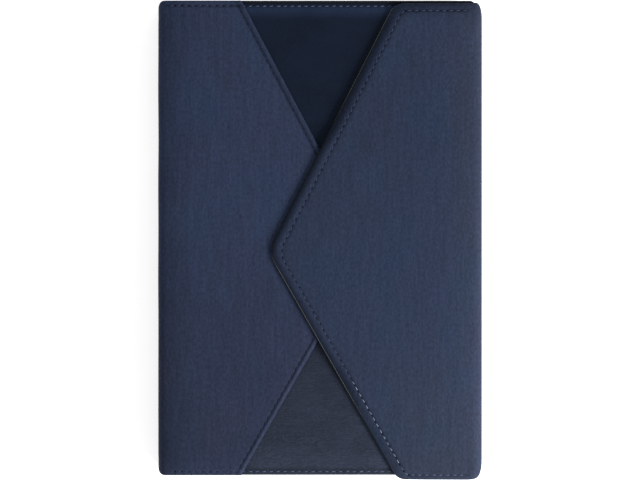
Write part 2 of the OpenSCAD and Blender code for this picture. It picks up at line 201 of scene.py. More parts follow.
class Wrap:
    """A fold line in X and Z that flat sheets follow. Flat x is the row's x up to the fold."""

    def __init__(self, points, radii, side, flip):
        p = [np.array(q, float) for q in points]
        full = [p[0]]
        for i in range(1, len(p) - 1):
            arc = rounded([p[i - 1], p[i], p[i + 1]], [0, radii, 0], 24)[1:-1]
            full.extend(arc)
        full.append(p[-1])
        q = resample(np.array(full), 0.12)
        t = tangents(q)
        self.q = q
        self.n = side * np.stack([-t[:, 1], t[:, 0]], 1)
        length = np.concatenate([[0], np.cumsum(np.linalg.norm(np.diff(q, axis=0), axis=1))])
        self.sign = -1 if flip else 1
        self.u = length + self.sign * q[0, 0]
        self.end = self.sign * self.u[-1]

    def __call__(self, P, h):
        u = self.sign * P[:, 0]
        x, z, nx, nz = (np.interp(u, self.u, c) for c in (self.q[:, 0], self.q[:, 1],
                                                          self.n[:, 0], self.n[:, 1]))
        return np.stack([x + nx * h, P[:, 1], z + nz * h], 1)

def tint(amount, red, green, blue):
    """Colour factors: each channel changes by its share times the amount at each point."""
    return 1 + amount[:, None] * np.array([red, green, blue])

def flat_at(z):
    """Places a flat sheet at this height."""
    return lambda P, h: np.stack([P[:, 0], P[:, 1], z + h], 1)

# ------------------------ meshes

def mesh(name, verts, faces, mats, index=None, smooth=True, flat=None, shade=None):
    """A new object. flat holds each point's place on the flat cloth, shade its painted light and shade and
    its tint.
    """
    me = bpy.data.meshes.new(name)
    me.from_pydata((np.array(verts) * MM).tolist(), [], [list(map(int, f)) for f in faces])
    for m in mats:
        me.materials.append(m)
    if index is not None:
        me.polygons.foreach_set("material_index", np.array(index, np.int32))
    me.polygons.foreach_set("use_smooth", [smooth] * len(me.polygons))
    if flat is not None:
        cloth = me.attributes.new("flat", "FLOAT_VECTOR", "POINT")
        cloth.data.foreach_set("vector", (flat * MM).astype(np.float32).ravel())
        painted_light_and_tint = me.attributes.new("shade", "FLOAT_COLOR", "POINT")
        painted_light_and_tint.data.foreach_set("color", shade.astype(np.float32).ravel())
    me.update()
    o = bpy.data.objects.new(name, me)
    bpy.context.scene.collection.objects.link(o)
    return o

def finished(o, degrees):
    """Turns the faces outwards and marks the edges that turn more than this as sharp."""
    bm = bmesh.new()
    bm.from_mesh(o.data)
    bmesh.ops.recalc_face_normals(bm, faces=bm.faces)
    for e in bm.edges:
        e.smooth = len(e.link_faces) != 2 or e.calc_face_angle(0) < math.radians(degrees)
    bm.to_mesh(o.data)
    bm.free()
    return o

def layer(name, outline, rings, grid, top, bottom, place, mats, shade=None, sharp=55):
    """A closed layer over a flat outline: top and bottom give each point's height.
    shade gives how much lighter or darker than its material the top is at each point,
    as one number or as red, green and blue."""
    edge = resample(outline, 1.0, closed=True)
    tangent = np.roll(edge, -1, 0) - np.roll(edge, 1, 0)
    tangent /= np.linalg.norm(tangent, axis=1)[:, None]
    area = 0.5 * np.sum(edge[:, 0] * np.roll(edge[:, 1], -1) - np.roll(edge[:, 0], -1) * edge[:, 1])
    normal = np.stack([-tangent[:, 1], tangent[:, 0]], 1) * (1 if area > 0 else -1)
    points = [edge]
    for d in rings:
        ring = edge + normal * d
        keep = distance(ring, edge, True)[0] > d - 0.03
        points.append(ring[keep])
    lo, hi = edge.min(0), edge.max(0)
    xs, ys = np.arange(lo[0], hi[0], grid), np.arange(lo[1], hi[1], grid * 0.87)
    gx, gy = np.meshgrid(xs, ys)
    gx = gx + (np.arange(len(ys)) % 2)[:, None] * grid / 2
    inner = np.stack([gx.ravel(), gy.ravel()], 1)
    inner = inner[inside(inner, edge)]
    inner = inner[distance(inner, edge, True)[0] > rings[-1] + grid * 0.6]
    points = np.vstack(points + [inner])
    n = len(edge)
    co, _, tri, *_ = delaunay_2d_cdt([Vector(p) for p in points],
                                     [(i, (i + 1) % n) for i in range(n)], [], 1, 1e-5)
    P = np.array([tuple(c) for c in co])
    tri = np.array([t for t in tri])
    used = dict.fromkeys(e for a, b, c in tri for e in ((a, b), (b, c), (c, a)))
    rim = [e for e in used if (e[1], e[0]) not in used]
    count = len(P)
    up = place(P, top(P))
    down = place(P, bottom(P))
    faces = [tuple(t) for t in tri] + [(c + count, b + count, a + count) for a, b, c in tri]
    faces += [(b, a, a + count, b + count) for a, b in rim]
    index = [0] * len(tri) + [len(mats) - 1] * len(tri) + [0] * len(rim)
    # the underside's pattern is taken 20 mm away from the top's, so that they differ
    flat = np.vstack([np.column_stack([P, np.full(count, h)]) for h in (0, 20)])
    tone = np.ones((2 * count, 4))
    if shade is not None:
        top_tone = shade(P)
        tone[:count, :3] = top_tone if top_tone.ndim == 2 else top_tone[:, None]
    o = mesh(name, np.vstack([up, down]), faces, mats, index, flat=flat, shade=tone)
    return finished(o, sharp)

def inside(P, poly):
    """Which points lie in the polygon."""
    res = np.zeros(len(P), bool)
    for a, b in zip(poly, np.roll(poly, -1, 0)):
        cross = (a[1] > P[:, 1]) != (b[1] > P[:, 1])
        if a[1] != b[1]:
            res ^= cross & (P[:, 0] < (b[0] - a[0]) * (P[:, 1] - a[1]) / (b[1] - a[1]) + a[0])
    return res

# Distances of a layer's rings of points from its outline
RINGS = [0.07, 0.18, 0.35, 0.6, 0.95, 1.35, 1.75, 2.1, 2.35, 2.6, 2.85, 3.1, 3.4, 3.7, 4.0,
         4.3, 4.6, 5.1, 5.9, 7.0]
FEW_RINGS = [0.07, 0.18, 0.35, 0.6, 1.0, 1.5, 2.0, 2.4, 2.8, 3.3, 4.2, 5.6]

def edge_round(d, r, amount=0.85):
    """How far a surface drops towards an edge that is rounded with radius r."""
    t = 1 - np.clip(d / r, 0, 1)
    return r * amount * (1 - np.sqrt(np.clip(1 - t * t, 0, 1)))

def grid_faces(rows, m, base=0):
    """Quads between successive loops of m points, numbered from base."""
    return [(base + j * m + k, base + j * m + (k + 1) % m,
             base + (j + 1) * m + (k + 1) % m, base + (j + 1) * m + k)
            for j in range(rows - 1) for k in range(m)]

def stitches(name, lines, top, place, mat, lift=0.06, length=1.95, r=0.22, pitch=STITCH, hole=0.34):
    """A separate stitch every few millimetres along each line, with a dark disc of painted shade for the
    needle hole between.
    """
    # the stitch's sections: share of its length from the middle, and share of its radius
    sections = [(-0.5, 0.0), (-0.42, 0.62), (-0.18, 1.0), (0.18, 1.0), (0.42, 0.62), (0.5, 0.0)]
    sides, hole_sides = 6, 8
    verts, faces, index = [], [], []
    for line in lines:
        p = np.array(line, float)
        s = np.concatenate([[0], np.cumsum(np.linalg.norm(np.diff(p, axis=0), axis=1))])
        for at in np.arange(pitch / 2, s[-1] - pitch / 3, pitch):
            at = at + rng.normal(0, 0.06)
            c = np.array([np.interp(at, s, p[:, k]) for k in (0, 1)])
            ahead = np.array([np.interp(min(at + 0.5, s[-1]), s, p[:, k]) for k in (0, 1)])
            t = unit(ahead - c) if np.linalg.norm(ahead - c) > 1e-6 else np.array([1.0, 0])
            a = math.radians(7 + rng.normal(0, 3))
            t = np.array([t[0] * math.cos(a) - t[1] * math.sin(a),
                          t[0] * math.sin(a) + t[1] * math.cos(a)])
            nrm = np.array([-t[1], t[0]])
            base = len(verts)
            flat, rise = [], []
            for f, w in sections:
                for k in range(sides):
                    b = 2 * math.pi * k / sides
                    flat.append(c + t * f * length + nrm * math.cos(b) * r * w)
                    rise.append(math.sin(b) * r * w * 0.8 - 0.28 * (2 * f) ** 4)
            flat = np.array(flat)
            h0 = top(c[None])[0] + lift
            verts.extend(place(flat, h0 + np.array(rise)))
            faces += grid_faces(len(sections), sides, base)
            index += [0] * (len(sections) - 1) * sides
            # the needle hole behind the stitch is a dark disc, painted shade in place of the hole
            base = len(verts)
            around = [2 * math.pi * k / hole_sides for k in range(hole_sides)]
            rim = [c + t * (pitch / 2 + hole * 1.35 * math.cos(b)) + nrm * hole * math.sin(b) for b in around]
            rim = np.array(rim + [c + t * pitch / 2])
            rise = np.array([0.03] * hole_sides + [0.09])
            verts.extend(place(rim, h0 - lift + rise))
            faces += [(base + k, base + (k + 1) % hole_sides, base + hole_sides) for k in range(hole_sides)]
            index += [1] * hole_sides
    return mesh(name, verts, faces, [mat, HOLE_SHADE], index)

def tube(name, path, profile, mat):
    """Cross-sections along a path: profile(k) gives the loop of points at path point k."""
    loops = [profile(k) for k in range(len(path))]
    m = len(loops[0])
    verts = [v for loop in loops for v in loop]
    faces = grid_faces(len(loops), m)
    faces.append(tuple(range(m - 1, -1, -1)))
    faces.append(tuple((len(loops) - 1) * m + k for k in range(m)))
    o = mesh(name, verts, faces, [mat])
    return finished(o, 50)

# ------------------------ materials

def srgb(r, g, b):
    """A linear colour from 0 to 255 display values."""
    f = lambda c: c / 255 / 12.92 if c <= 10 else ((c / 255 + 0.055) / 1.055) ** 2.4
    return (f(r), f(g), f(b), 1)

def level(v):
    return (v, v, v, 1)

def grey(a, b):
    """Two stops between which a noise scales a colour."""
    return [(0.3, level(a)), (0.7, level(b))]

class Nodes:
    """Short way to write a material's node tree."""

    def __init__(self, name, cloth=False):
        self.mat = bpy.data.materials.new(name)
        self.mat.use_nodes = True
        self.tree = self.mat.node_tree
        self.bsdf = self.tree.nodes["Principled BSDF"]
        if cloth:
            self.coord = self.add("ShaderNodeAttribute", attribute_name="flat").outputs["Vector"]
        else:
            self.coord = self.add("ShaderNodeTexCoord").outputs["Object"]

    def add(self, kind, **props):
        n = self.tree.nodes.new(kind)
        for k, v in props.items():
            setattr(n, k, v)
        return n

    def link(self, a, b):
        self.tree.links.new(a, b)

    def mapped(self, scale):
        """The place on the object, or on the flat cloth, in millimetres times this scale."""
        m = self.add("ShaderNodeMapping")
        m.inputs["Scale"].default_value = [s / MM for s in scale]
        self.link(self.coord, m.inputs["Vector"])
        return m.outputs["Vector"]

    def noise(self, scale, detail=2.0, rough=0.5, distortion=0.0):
        n = self.add("ShaderNodeTexNoise")
        self.link(self.mapped(scale), n.inputs["Vector"])
        n.inputs["Scale"].default_value = 1
        n.inputs["Detail"].default_value = detail
        n.inputs["Roughness"].default_value = rough
        n.inputs["Distortion"].default_value = distortion
        return n.outputs["Fac"]

    def cells(self, scale):
        """Distance to the borders of irregular cells."""
        n = self.add("ShaderNodeTexVoronoi", feature="DISTANCE_TO_EDGE")
        self.link(self.mapped(scale), n.inputs["Vector"])
        n.inputs["Scale"].default_value = 1
        return n.outputs["Distance"]

    def weave(self, pitch):
        """Over-and-under threads: the product of two waves."""
        out = []
        for axis in ("X", "Y"):
            w = self.add("ShaderNodeTexWave", wave_type="BANDS", bands_direction=axis)
            s = [1 / pitch] * 3
            self.link(self.mapped(s), w.inputs["Vector"])
            w.inputs["Scale"].default_value = 0.314
            w.inputs["Distortion"].default_value = 0.6
            w.inputs["Detail"].default_value = 1
            out.append(w.outputs["Fac"])
        return self.math("ADD", out[0], out[1])

    def math(self, op, *values):
        m = self.add("ShaderNodeMath", operation=op)
        for k, v in enumerate(values):
            if isinstance(v, (int, float)):
                m.inputs[k].default_value = v
            else:
                self.link(v, m.inputs[k])
        return m.outputs[0]

    def along_y(self):
        """Y as a position on a colour ramp, 0.5 at Y = 0."""
        y = self.add("ShaderNodeSeparateXYZ")
        self.link(self.mapped((1, 1, 1)), y.inputs[0])
        return self.math("MULTIPLY_ADD", y.outputs["Y"], RAMP_PER_MM, 0.5)

    def ramp_y(self, along, stops):
        """Colour that follows Y: stops are (Y in mm, colour)."""
        return self.ramp(along, [(0.5 + RAMP_PER_MM * at, tone) for at, tone in stops])

    def times(self, colour, *factors):
        for factor in factors:
            colour = self.mix("MULTIPLY", 1.0, colour, factor)
        return colour

    def shaded(self, colour):
        """The colour times the mesh's shade."""
        painted_light_and_tint = self.add("ShaderNodeAttribute", attribute_name="shade")
        return self.times(colour, painted_light_and_tint.outputs["Color"])

    def ramp(self, fac, stops):
        r = self.add("ShaderNodeValToRGB")
        e = r.color_ramp.elements
        e[0].position, e[0].color = stops[0]
        e[1].position, e[1].color = stops[-1]
        for pos, colour in stops[1:-1]:
            e.new(pos).color = colour
        self.link(fac, r.inputs["Fac"])
        return r.outputs["Color"]

    def mix(self, kind, fac, a, b):
        m = self.add("ShaderNodeMix", data_type="RGBA", blend_type=kind)
        for socket, v in ((m.inputs["Factor"], fac), (m.inputs[6], a), (m.inputs[7], b)):
            if isinstance(v, (int, float, tuple)):
                socket.default_value = v
            else:
                self.link(v, socket)
        return m.outputs[2]

    def bump(self, height, strength, distance, after=None):
        b = self.add("ShaderNodeBump")
        b.inputs["Strength"].default_value = strength
        b.inputs["Distance"].default_value = distance * MM
        self.link(height, b.inputs["Height"])
        if after is not None:
            self.link(after, b.inputs["Normal"])
        return b.outputs["Normal"]

    def done(self, colour=None, normal=None, rough=None, **constants):
        if colour is not None:
            self.link(colour, self.bsdf.inputs["Base Color"])
        if normal is not None:
            self.link(normal, self.bsdf.inputs["Normal"])
        if rough is not None:
            self.link(rough, self.bsdf.inputs["Roughness"])
        for k, v in constants.items():
            self.bsdf.inputs[k.replace("_", " ")].default_value = v
        return self.mat

def cut_edge(name):
    """Raw board edge: pale olive from about Y -66 to -14 mm and above Y 64 mm, dark elsewhere."""
    n = Nodes(name)
    dark, pale, worn = (0.010, 0.013, 0.014, 1), (0.062, 0.067, 0.052, 1), (0.070, 0.078, 0.070, 1)
    stops = [(-80, dark), (-66, worn), (-14, worn), (-6, dark), (48, dark), (64, pale), (90, pale)]
    c = n.ramp_y(n.along_y(), stops)
    fibre = n.noise((2.5, 0.6, 2.5), 4, 0.7)
    c = n.times(c, n.ramp(fibre, grey(0.7, 1.3)))
    return n.done(c, n.bump(fibre, 0.6, 0.08), Roughness=0.9, Specular_IOR_Level=0.05)

def microfibre(name, colour, streak=0.14, blotch=0.09, sheen=0.12, rough=0.9, cloth=True):
    """Napped cloth: vertical streaks, a speckle about 1 mm across and large soft patches."""
    n = Nodes(name, cloth)
    streaks = n.ramp(n.noise((0.55, 0.06, 0.55), 4, 0.65, 0.4), grey(1 - streak, 1 + streak))
    speckle = n.ramp(n.noise((0.95, 0.6, 0.95), 3, 0.75), grey(0.74, 1.26))
    patch = n.ramp(n.noise((0.045, 0.03, 0.045), 3, 0.55), [
        (0.3, (1 + blotch * 0.6, 1 - blotch * 0.3, 1 - blotch * 0.3, 1)), (0.5, (1, 1, 1, 1)),
        (0.7, (1 - blotch, 1 + blotch * 0.4, 1 + blotch * 0.5, 1))])
    c = n.times(colour, streaks, speckle, patch)
    if cloth:
        c = n.shaded(c)
    b = n.bump(n.weave(0.42), 0.35, 0.05)
    b = n.bump(n.noise((1.1, 0.45, 1.1), 4, 0.65), 0.6, 0.14, b)
    b = n.bump(n.noise((0.22, 0.10, 0.22), 3, 0.5), 0.35, 0.5, b)
    return n.done(c, b, Roughness=rough, Sheen_Weight=sheen, Sheen_Roughness=0.4,
                  Sheen_Tint=(0.6, 0.64, 0.8, 1), Specular_IOR_Level=0.06)

def leather(name, stops):
    """Grained leather whose colour follows Y: stops are (Y in mm, colour)."""
    n = Nodes(name, True)
    grain = n.cells((1.15, 1.5, 1.15))
    crease = n.noise((0.22, 0.75, 0.3), 5, 0.65, 1.6)
    patch = n.ramp(n.noise((0.06, 0.09, 0.06), 4, 0.6), grey(0.88, 1.12))
    lines = n.ramp(crease, [(0.36, level(0.82)), (0.5, level(1)), (0.66, level(1.14))])
    # more creased towards the bottom, where hands rub it; the colour stops also make it lighter there, a
    # painted reflection of the light from below
    along = n.along_y()
    worn = n.ramp(along, [(0.1, (1, 1, 1, 1)), (0.6, (0, 0, 0, 1))])
    c = n.times(n.ramp_y(along, stops), patch)
    c = n.mix("MULTIPLY", worn, c, lines)
    c = n.times(c, n.ramp(n.noise((0.9, 1.1, 0.9), 3, 0.7), grey(0.86, 1.14)))
    c = n.shaded(c)
    b = n.bump(grain, 0.35, 0.16)
    b = n.bump(n.math("MULTIPLY", worn, crease), 0.8, 0.7, b)
    rough = n.ramp(n.noise((0.5, 0.5, 0.5), 3, 0.6), grey(0.6, 0.74))
    return n.done(c, b, rough, Specular_IOR_Level=0.05)

def grained(name, colour, rough, scale, amount=0.12, depth=0.02, metallic=0.0, stretch=(1, 1, 1),
            **constants):
    """Moulded or rolled material: a fine grain in colour, roughness and height."""
    n = Nodes(name)
    s = tuple(scale * k for k in stretch)
    grain = n.noise(s, 4, 0.6)
    patch = n.noise(tuple(0.04 * k for k in stretch), 3)
    c = n.times(colour, n.ramp(grain, grey(1 - amount, 1 + amount)), n.ramp(patch, grey(0.93, 1.07)))
    lo, hi = max(0.02, rough - 0.07), min(1.0, rough + 0.07)
    return n.done(c, n.bump(grain, 0.5, depth), n.ramp(grain, grey(lo, hi)), Metallic=metallic, **constants)

NAVY = microfibre("navy_microfibre", (0.0152, 0.0215, 0.0438, 1))
NAVY_FLAP = microfibre("navy_microfibre_flap", (0.0144, 0.0208, 0.0412, 1), streak=0.12)
# painted reflection: these stops make the leather dark at the top and lighter towards the bottom, as if lit
# from below
LEATHER = leather("navy_leather", [
    (-100, (0.0160, 0.0200, 0.0325, 1)), (-45, (0.0116, 0.0152, 0.0260, 1)),
    (40, (0.0034, 0.0064, 0.0146, 1)), (100, (0.0038, 0.0068, 0.0155, 1))])
LINING = microfibre("dark_lining", srgb(33, 36, 46), streak=0.04, blotch=0.04)
BINDING = grained("edge_binding", srgb(8, 11, 20), 0.8, 2.5, depth=0.06, stretch=(0.4, 2, 2),
                  Specular_IOR_Level=0.1)
GUSSET = microfibre("gusset_fabric", srgb(34, 39, 56), streak=0.05, cloth=False)
THREAD = grained("thread_navy", srgb(46, 53, 76), 0.7, 6, 0.25, 0.05, Specular_IOR_Level=0.1)
THREAD_PALE = grained("thread_rubbed", srgb(68, 76, 100), 0.6, 0.45, 0.5, 0.05, Specular_IOR_Level=0.1)
THREAD_WORN = grained("thread_worn", srgb(97, 103, 121), 0.6, 0.45, 0.55, 0.05, Specular_IOR_Level=0.1)
THREAD_DARK = grained("thread_dark", srgb(20, 25, 42), 0.7, 6, 0.25, 0.05, Specular_IOR_Level=0.1)
# painted shade of the needle holes
HOLE_SHADE = grained("needle_hole_shade", srgb(10, 12, 20), 0.9, 6, 0.2, 0.03, Specular_IOR_Level=0.05)
CUT_EDGE = cut_edge("cut_edge")
PLASTIC = grained("deck_plastic", srgb(32, 32, 34), 0.5, 4, 0.10, 0.02, Specular_IOR_Level=0.3)
KEY = grained("key_plastic", srgb(24, 24, 26), 0.42, 5, 0.08, 0.012, Specular_IOR_Level=0.3)
PAD = grained("touchpad_plastic", srgb(27, 27, 29), 0.33, 6, 0.06, 0.008, Specular_IOR_Level=0.3)
LEGEND = grained("legend_print", srgb(214, 216, 218), 0.5, 5, 0.05, 0.004)
SILICONE = grained("silicone", srgb(48, 48, 50), 0.65, 2, 0.08, 0.02)
STEEL = grained("rolled_steel", srgb(170, 171, 174), 0.34, 1.2, 0.06, 0.01, 1.0, (0.1, 3, 1))
NICKEL = grained("nickel_plate", srgb(196, 194, 188), 0.2, 1.5, 0.05, 0.008, 1.0)
BOARD = grained("greyboard", srgb(138, 130, 116), 0.92, 1.6, 0.18, 0.08)
FILM = grained("membrane_film", srgb(150, 168, 158), 0.3, 0.8, 0.08, 0.01)
SOLDER_MASK = grained("circuit_board", srgb(24, 70, 40), 0.35, 1.5, 0.15, 0.02)
CELL = grained("battery_wrap", srgb(58, 60, 64), 0.35, 1.0, 0.06, 0.03)
TAPE = grained("foam_tape", srgb(205, 203, 196), 0.9, 2.2, 0.08, 0.06)
LENS = grained("light_lens", srgb(176, 200, 216), 0.15, 3, 0.05, 0.004, Transmission_Weight=0.5)

# ------------------------ fabric panels

def fold_corner(x):
    """Half-length of a fold at this x, so that the case's corners are round from above."""
    gone = np.clip(CORNER_R - np.minimum(x - LEFT, RIGHT - x), 0, CORNER_R)
    return HALF_L - CORNER_R + np.sqrt(CORNER_R**2 - gone**2)

def fold_outline(wrap, start_x, y0, y1, end_y0, end_y1, n=24):
    """The far part of an outline, from the lower edge at start_x round the fold to its end."""
    xs = np.linspace(start_x, wrap.end, n)
    P = np.stack([xs, xs * 0], 1)
    real = wrap(P, np.zeros(n))
    cut = HALF_L - fold_corner(real[:, 0])
    t = step_up(np.abs(xs - start_x), 0, 9)
    low_y = y0 + (end_y0 - y0) * t + cut
    high_y = y1 + (end_y1 - y1) * t - cut
    lower = [(x, y) for x, y in zip(xs, low_y)]
    upper = [(x, y) for x, y in zip(xs[::-1], high_y[::-1])]
    return lower, upper

def keep(o, body, slot, *nodes, padded=None):
    """Files a finished piece: attaches it to its body or, given a tuple of bodies, applies its transform and
    leaves it unattached, and hides the nodes it stands for. Its material slot is not used.
    """
    if isinstance(body, tuple):
        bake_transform(o)
    else:
        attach(o, body)
    if nodes:
        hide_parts(*nodes)

# Keyboard base and the lower half of the spine
BASE_R = 1.3
base_wrap = Wrap([(BASE_X1, 0), (LEFT, 0), (LEFT, SPINE_MID)], 3.0, 1, True)
lower, upper = fold_outline(base_wrap, -HALF_W + 1, -HALF_L, HALF_L, -HALF_L, HALF_L)
front_corners = rounded([(0, -HALF_L), (BASE_X1, -HALF_L), (BASE_X1, HALF_L), (0, HALF_L)], [0, 3, 3, 0])
base_outline = np.vstack([front_corners[1:-1], upper[::-1], lower[::-1]])
base_free = np.vstack([lower[::-1], front_corners[1:-1], upper[::-1]])

x1, y1 = BASE_X1 - PANEL_SEW, HALF_L - PANEL_SEW
base_line = np.vstack([[(-HALF_W + 3, -y1)],
                       rounded([(0, -y1), (x1, -y1), (x1, y1), (0, y1)], [0, 1.2, 1.2, 0])[1:-1],
                       [(-HALF_W + 3, y1)]])

def base_top(P):
    d = distance(P, base_free)[0]
    sew = bell(d, PANEL_SEW, 0.5) * (P[:, 0] > -HALF_W + 2)
    return -edge_round(d, BASE_R) - 0.22 * sew + 0.03 * waves(P, 3, 30) * step_up(d, 3, 12) - 0.03

def base_bottom(P):
    d = distance(P, base_free)[0]
    x = P[:, 0]
    fold = step_up(x, -HALF_W - 7.0, -HALF_W - 5.2) * (1 - step_up(x, -HALF_W + 0.2, -HALF_W + 1.8))
    t = np.where(x > -HALF_W - 2, BASE_T, 2.7)
    t = t - fold * (t - 1.5)
    sew = bell(d, PANEL_SEW, 0.5) * (x > -HALF_W + 2)
    return -t + edge_round(d, BASE_R) + 0.2 * sew

base_outer = layer("base_cover_fabric", base_outline, FEW_RINGS, 3.0, base_top, base_bottom, base_wrap,
                   [NAVY, LINING])
keep(base_outer, ("base", "spine", (-HALF_W * MM, 0, 0), (LEFT * MM, 0, BASE_T * MM)), "navy_fabric",
     "base_cover", "base_lining", padded=0.9)
keep(stitches("base_stitches", [base_line], base_top, base_wrap, THREAD), "base", "navy_fabric")
keep(stitches("base_inner_stitches", [base_line], lambda P: -base_bottom(P),
              lambda P, h: base_wrap(P, -h), THREAD), "base", "navy_fabric")

# Upper half of the spine and the pocket panel
pocket_wrap = Wrap([(40, POCKET_TOP), (LEFT, POCKET_TOP), (LEFT, SPINE_MID)], 4.5, -1, True)
PX, PT, PTY = -34.0, 22.2, -4.0  # X of the hem's corners, and X and Y of its tip before it is rounded
pocket_edge = rounded([(PX, -HALF_L), (PT, PTY), (PX, HALF_L)], [0, 15, 0], 14)[1:-1]
pocket_edge = np.vstack([[(PX, -HALF_L)], pocket_edge, [(PX, HALF_L)]])
lower, upper = fold_outline(pocket_wrap, -HALF_W + 2, -HALF_L, HALF_L, -HALF_L, HALF_L)
pocket_outline = np.vstack([resample(pocket_edge, 1.0), upper[::-1], lower[::-1]])
pocket_side_0 = np.array([(PX, -HALF_L)] + lower)
pocket_side_1 = np.array([(PX, HALF_L)] + upper[::-1])
pocket_hem = resample(pocket_edge, 1.0)

def pocket_fields(P):
    """Distances to the slanted hem and to the other edges, and the place along the hem."""
    hem, s = distance(P, pocket_hem)
    side = np.minimum(distance(P, pocket_side_0)[0], distance(P, pocket_side_1)[0])
    return hem, side, s

def pocket_top(P):
    hem, side, s = pocket_fields(P)
    flat = step_up(P[:, 0], -HALF_W + 1, -HALF_W + 10)
    d = np.minimum(hem, side)
    pucker = 0.75 + 0.25 * np.cos(2 * math.pi * s / STITCH)
    sew = np.where(P[:, 1] > 0, TOP_SEW, FOOT_SEW)
    h = -edge_round(hem, 1.3, 0.62) - edge_round(side, 0.8) * (hem > 1.0)
    h += 0.14 * step_up(hem, 0.2, 0.9) * (1 - step_up(hem, 1.5, 2.1))
    h -= 0.36 * bell(hem, HEM_SEW, 0.45) * pucker
    h -= 0.22 * bell(side, sew, 0.45) * flat
    h += 0.10 * step_up(hem, 2.8, 9) * step_up(side, 3, 9)
    h += 0.05 * waves(P, 11, 45, 0.6) * step_up(d, 4, 16)
    return h

def pocket_bottom(P):
    hem, side, _ = pocket_fields(P)
    x = P[:, 0]
    t = 1.55 + 1.15 * (1 - step_up(x, pocket_wrap.end + 4.0, pocket_wrap.end + 7.5))
    return -t + edge_round(np.minimum(hem, side), 0.6)

def pocket_shade(P):
    """Painted light and shade: darker towards the spine, where the panel rounds away from the light, and in
    the seams' grooves; a painted highlight on the lower hem's edge strip and painted shade on the upper one;
    painted highlights along the lower edge and over the upper half; the lower end is tinted less blue.
    """
    hem, side, _ = pocket_fields(P)
    upper = step_up(P[:, 1], -40, 20)
    x = P[:, 0]
    # painted shade towards the spine
    tone = 1 - 0.20 * bell(x, -64.5, 2.4) - 0.12 * bell(x, -60, 4)
    tone *= 1 - 0.50 * bell(hem, 2.3, 0.55) * (0.4 + 0.6 * upper)
    strip = step_up(hem, 0.1, 0.5) * (1 - step_up(hem, 1.3, 2.0))
    # painted highlight on the lower hem's strip, painted shade on the upper one
    tone *= 1 + strip * (0.12 - 0.30 * upper)
    tone *= 1 - 0.50 * bell(side, TOP_SEW, 0.5) * upper * (x > -HALF_W)
    # painted highlight along the lower edge; the upper half is painted lighter
    tone *= 1 + 0.14 * (1 - step_up(side, 1.2, 8)) * (1 - upper)
    tone *= 1 + 0.10 * upper
    low_end = 1 - step_up(P[:, 1], -95, 10)
    return tone[:, None] * tint(low_end, 0.02, -0.08, -0.12)

pocket = layer("pocket_panel_fabric", pocket_outline, RINGS, 2.2, pocket_top, pocket_bottom,
               pocket_wrap, [NAVY, LINING], pocket_shade)
keep(pocket, ("spine", "sleeve", (LEFT * MM, 0, 21.5 * MM), ((LEFT + 5) * MM, 0, POCKET_TOP * MM)),
     "navy_fabric", "pocket_panel", "pocket_lining", "spine_cover", "spine_lining", padded=0.7)
hem_sewn = shift(resample(pocket_edge, 0.5), HEM_SEW)
hem_sewn = hem_sewn[np.abs(hem_sewn[:, 1]) < HALF_L - 2.6]
pocket_sides = [[(-HALF_W + 1.5, y), (PX - 2.6, y)] for y in (FOOT_SEW - HALF_L, HALF_L - TOP_SEW)]
keep(stitches("pocket_hem_stitches", [hem_sewn], pocket_top, pocket_wrap, THREAD_DARK, r=0.30, lift=0.1),
     "sleeve", "navy_fabric")
keep(stitches("pocket_side_stitches", pocket_sides, pocket_top, pocket_wrap, THREAD), "sleeve", "navy_fabric")

# Back of the sleeve and the lower half of the mouth wall
BACK_R = 0.7
back_wrap = Wrap([(-HALF_W + 0.2, BACK_Z), (RIGHT, BACK_Z), (RIGHT, WALL_MID)], 2.4, -1, False)
lower, upper = fold_outline(back_wrap, HALF_W - 1, -HALF_L, HALF_L, WALL_Y0, WALL_Y1)
x0 = -HALF_W + 0.2
corners = rounded([(0, HALF_L), (x0, HALF_L), (x0, -HALF_L), (0, -HALF_L)], [0, 2, 2, 0])[1:-1]
back_outline = np.vstack([corners, lower, upper])
back_free = np.vstack([upper, corners, lower])

def back_top(P):
    d = distance(P, back_free)[0]
    return -edge_round(d, BACK_R) - 0.15 * bell(d, PANEL_SEW, 0.5) * (P[:, 0] < HALF_W - 3)

def back_bottom(P):
    d = distance(P, back_free)[0]
    x = P[:, 0]
    t = 1.65 - 0.4 * step_up(x, HALF_W - 2, HALF_W) + 0.8 * step_up(x, HALF_W + 4, HALF_W + 6)
    return -t + edge_round(d, BACK_R)

back = layer("sleeve_back_fabric", back_outline, FEW_RINGS, 3.0, back_top, back_bottom, back_wrap,
             [NAVY, LINING])
keep(back, ("sleeve", "mouth_wall", ((HALF_W + 0.6) * MM, 0, BACK_Z * MM),
            (RIGHT * MM, 0, (BAY_Z0 + 0.7) * MM)), "navy_fabric", "mouth_wall_cover", padded=0.9)
x0, x1, y1 = -HALF_W + 6, HALF_W - 7, HALF_L - 6
lining_rect = rectangle(x0, x1, -y1, y1, 3)
lining_line = rectangle(x0 + LINING_SEW, x1 - LINING_SEW, -y1 + LINING_SEW, y1 - LINING_SEW, 2)

def lining_top(P):
    d = distance(P, lining_rect, True)[0]
    return -edge_round(d, 0.2) - 0.08 * bell(d, LINING_SEW, 0.4)

def under(P, h):
    """Where the back lining lies: on the underside of the sleeve, facing down."""
    return np.stack([P[:, 0], P[:, 1], BACK_Z - 0.12 - h], 1)

back_lining = layer("sleeve_back_lining_cloth", lining_rect, [0.1, 0.25, 0.5, 0.9, 1.3, 1.6, 1.9, 2.4, 3.4],
                    4.0, lining_top, lambda P: np.full(len(P), -0.3), under, [LINING])
keep(back_lining, "sleeve", "lining_fabric", "sleeve_back_lining")
lining_line = np.vstack([lining_line, lining_line[:1]])
keep(stitches("sleeve_back_stitches", [lining_line], lining_top, under, THREAD, r=0.16),
     "sleeve", "lining_fabric")

